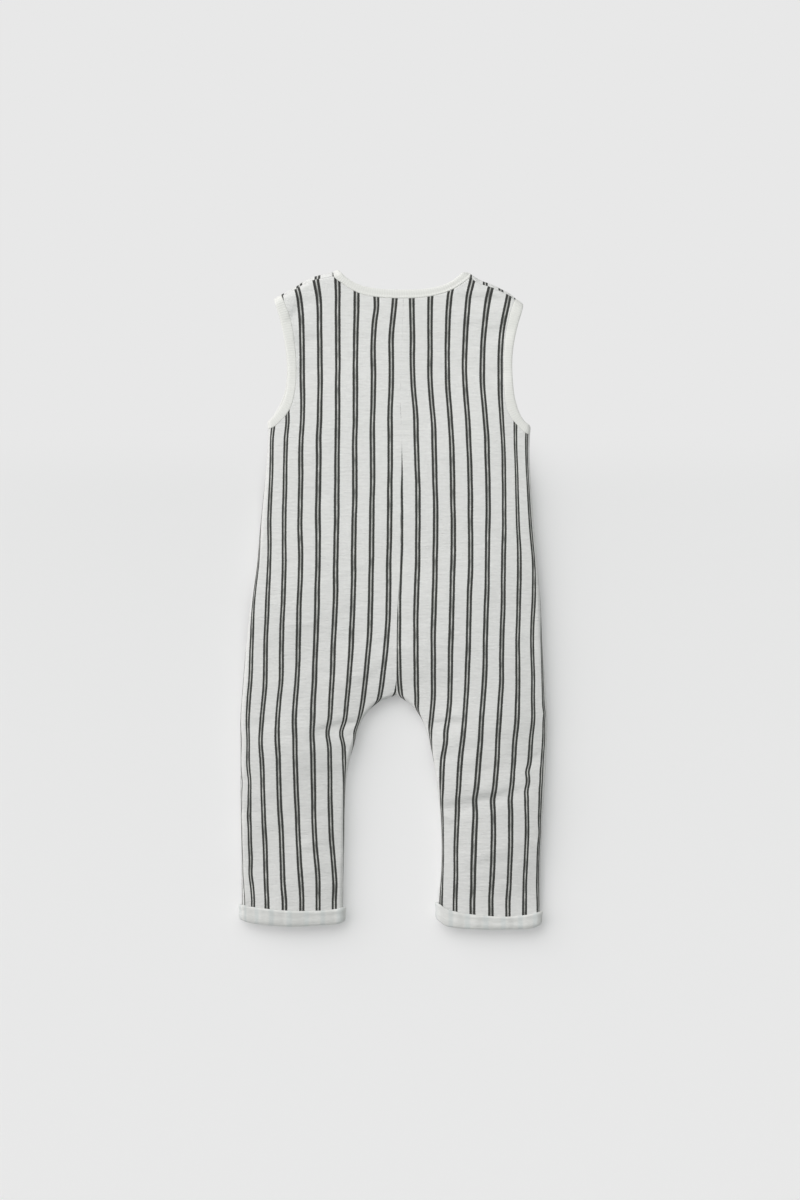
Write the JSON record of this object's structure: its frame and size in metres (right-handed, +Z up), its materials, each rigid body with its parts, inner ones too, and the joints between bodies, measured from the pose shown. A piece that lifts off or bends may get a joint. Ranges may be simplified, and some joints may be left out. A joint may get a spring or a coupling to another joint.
{
  "type": "sleeveless one-piece baby dungarees laid flat",
  "caption": "Sleeveless knitted baby dungarees in one piece, back uppermost, laid flat, with rib-bound neck and armholes and turned-up hems.",
  "frame": {"origin": "on the surface that the garment lies on, under the middle of its bounding box", "axes": "+Y from the hems to the neck, +X to the right of someone looking down on the back, +Z up from the surface"},
  "size_m": [0.2708, 0.5802, 0.0193],
  "materials": {
    "striped_jersey": "off-white knit with pairs of charcoal pinstripes from shoulder to hem",
    "rib_knit": "off-white fine rib",
    "jersey_reverse": "off-white reverse of the knit, stripes showing through faintly"
  },
  "bodies": {
    "root": {"back_left": "striped_jersey", "back_right": "striped_jersey", "front_left": "striped_jersey", "front_right": "striped_jersey", "neck_band": "rib_knit", "armhole_band_left": "rib_knit", "armhole_band_right": "rib_knit", "turnup_left": "jersey_reverse", "turnup_right": "jersey_reverse"}
  },
  "joints": []
}
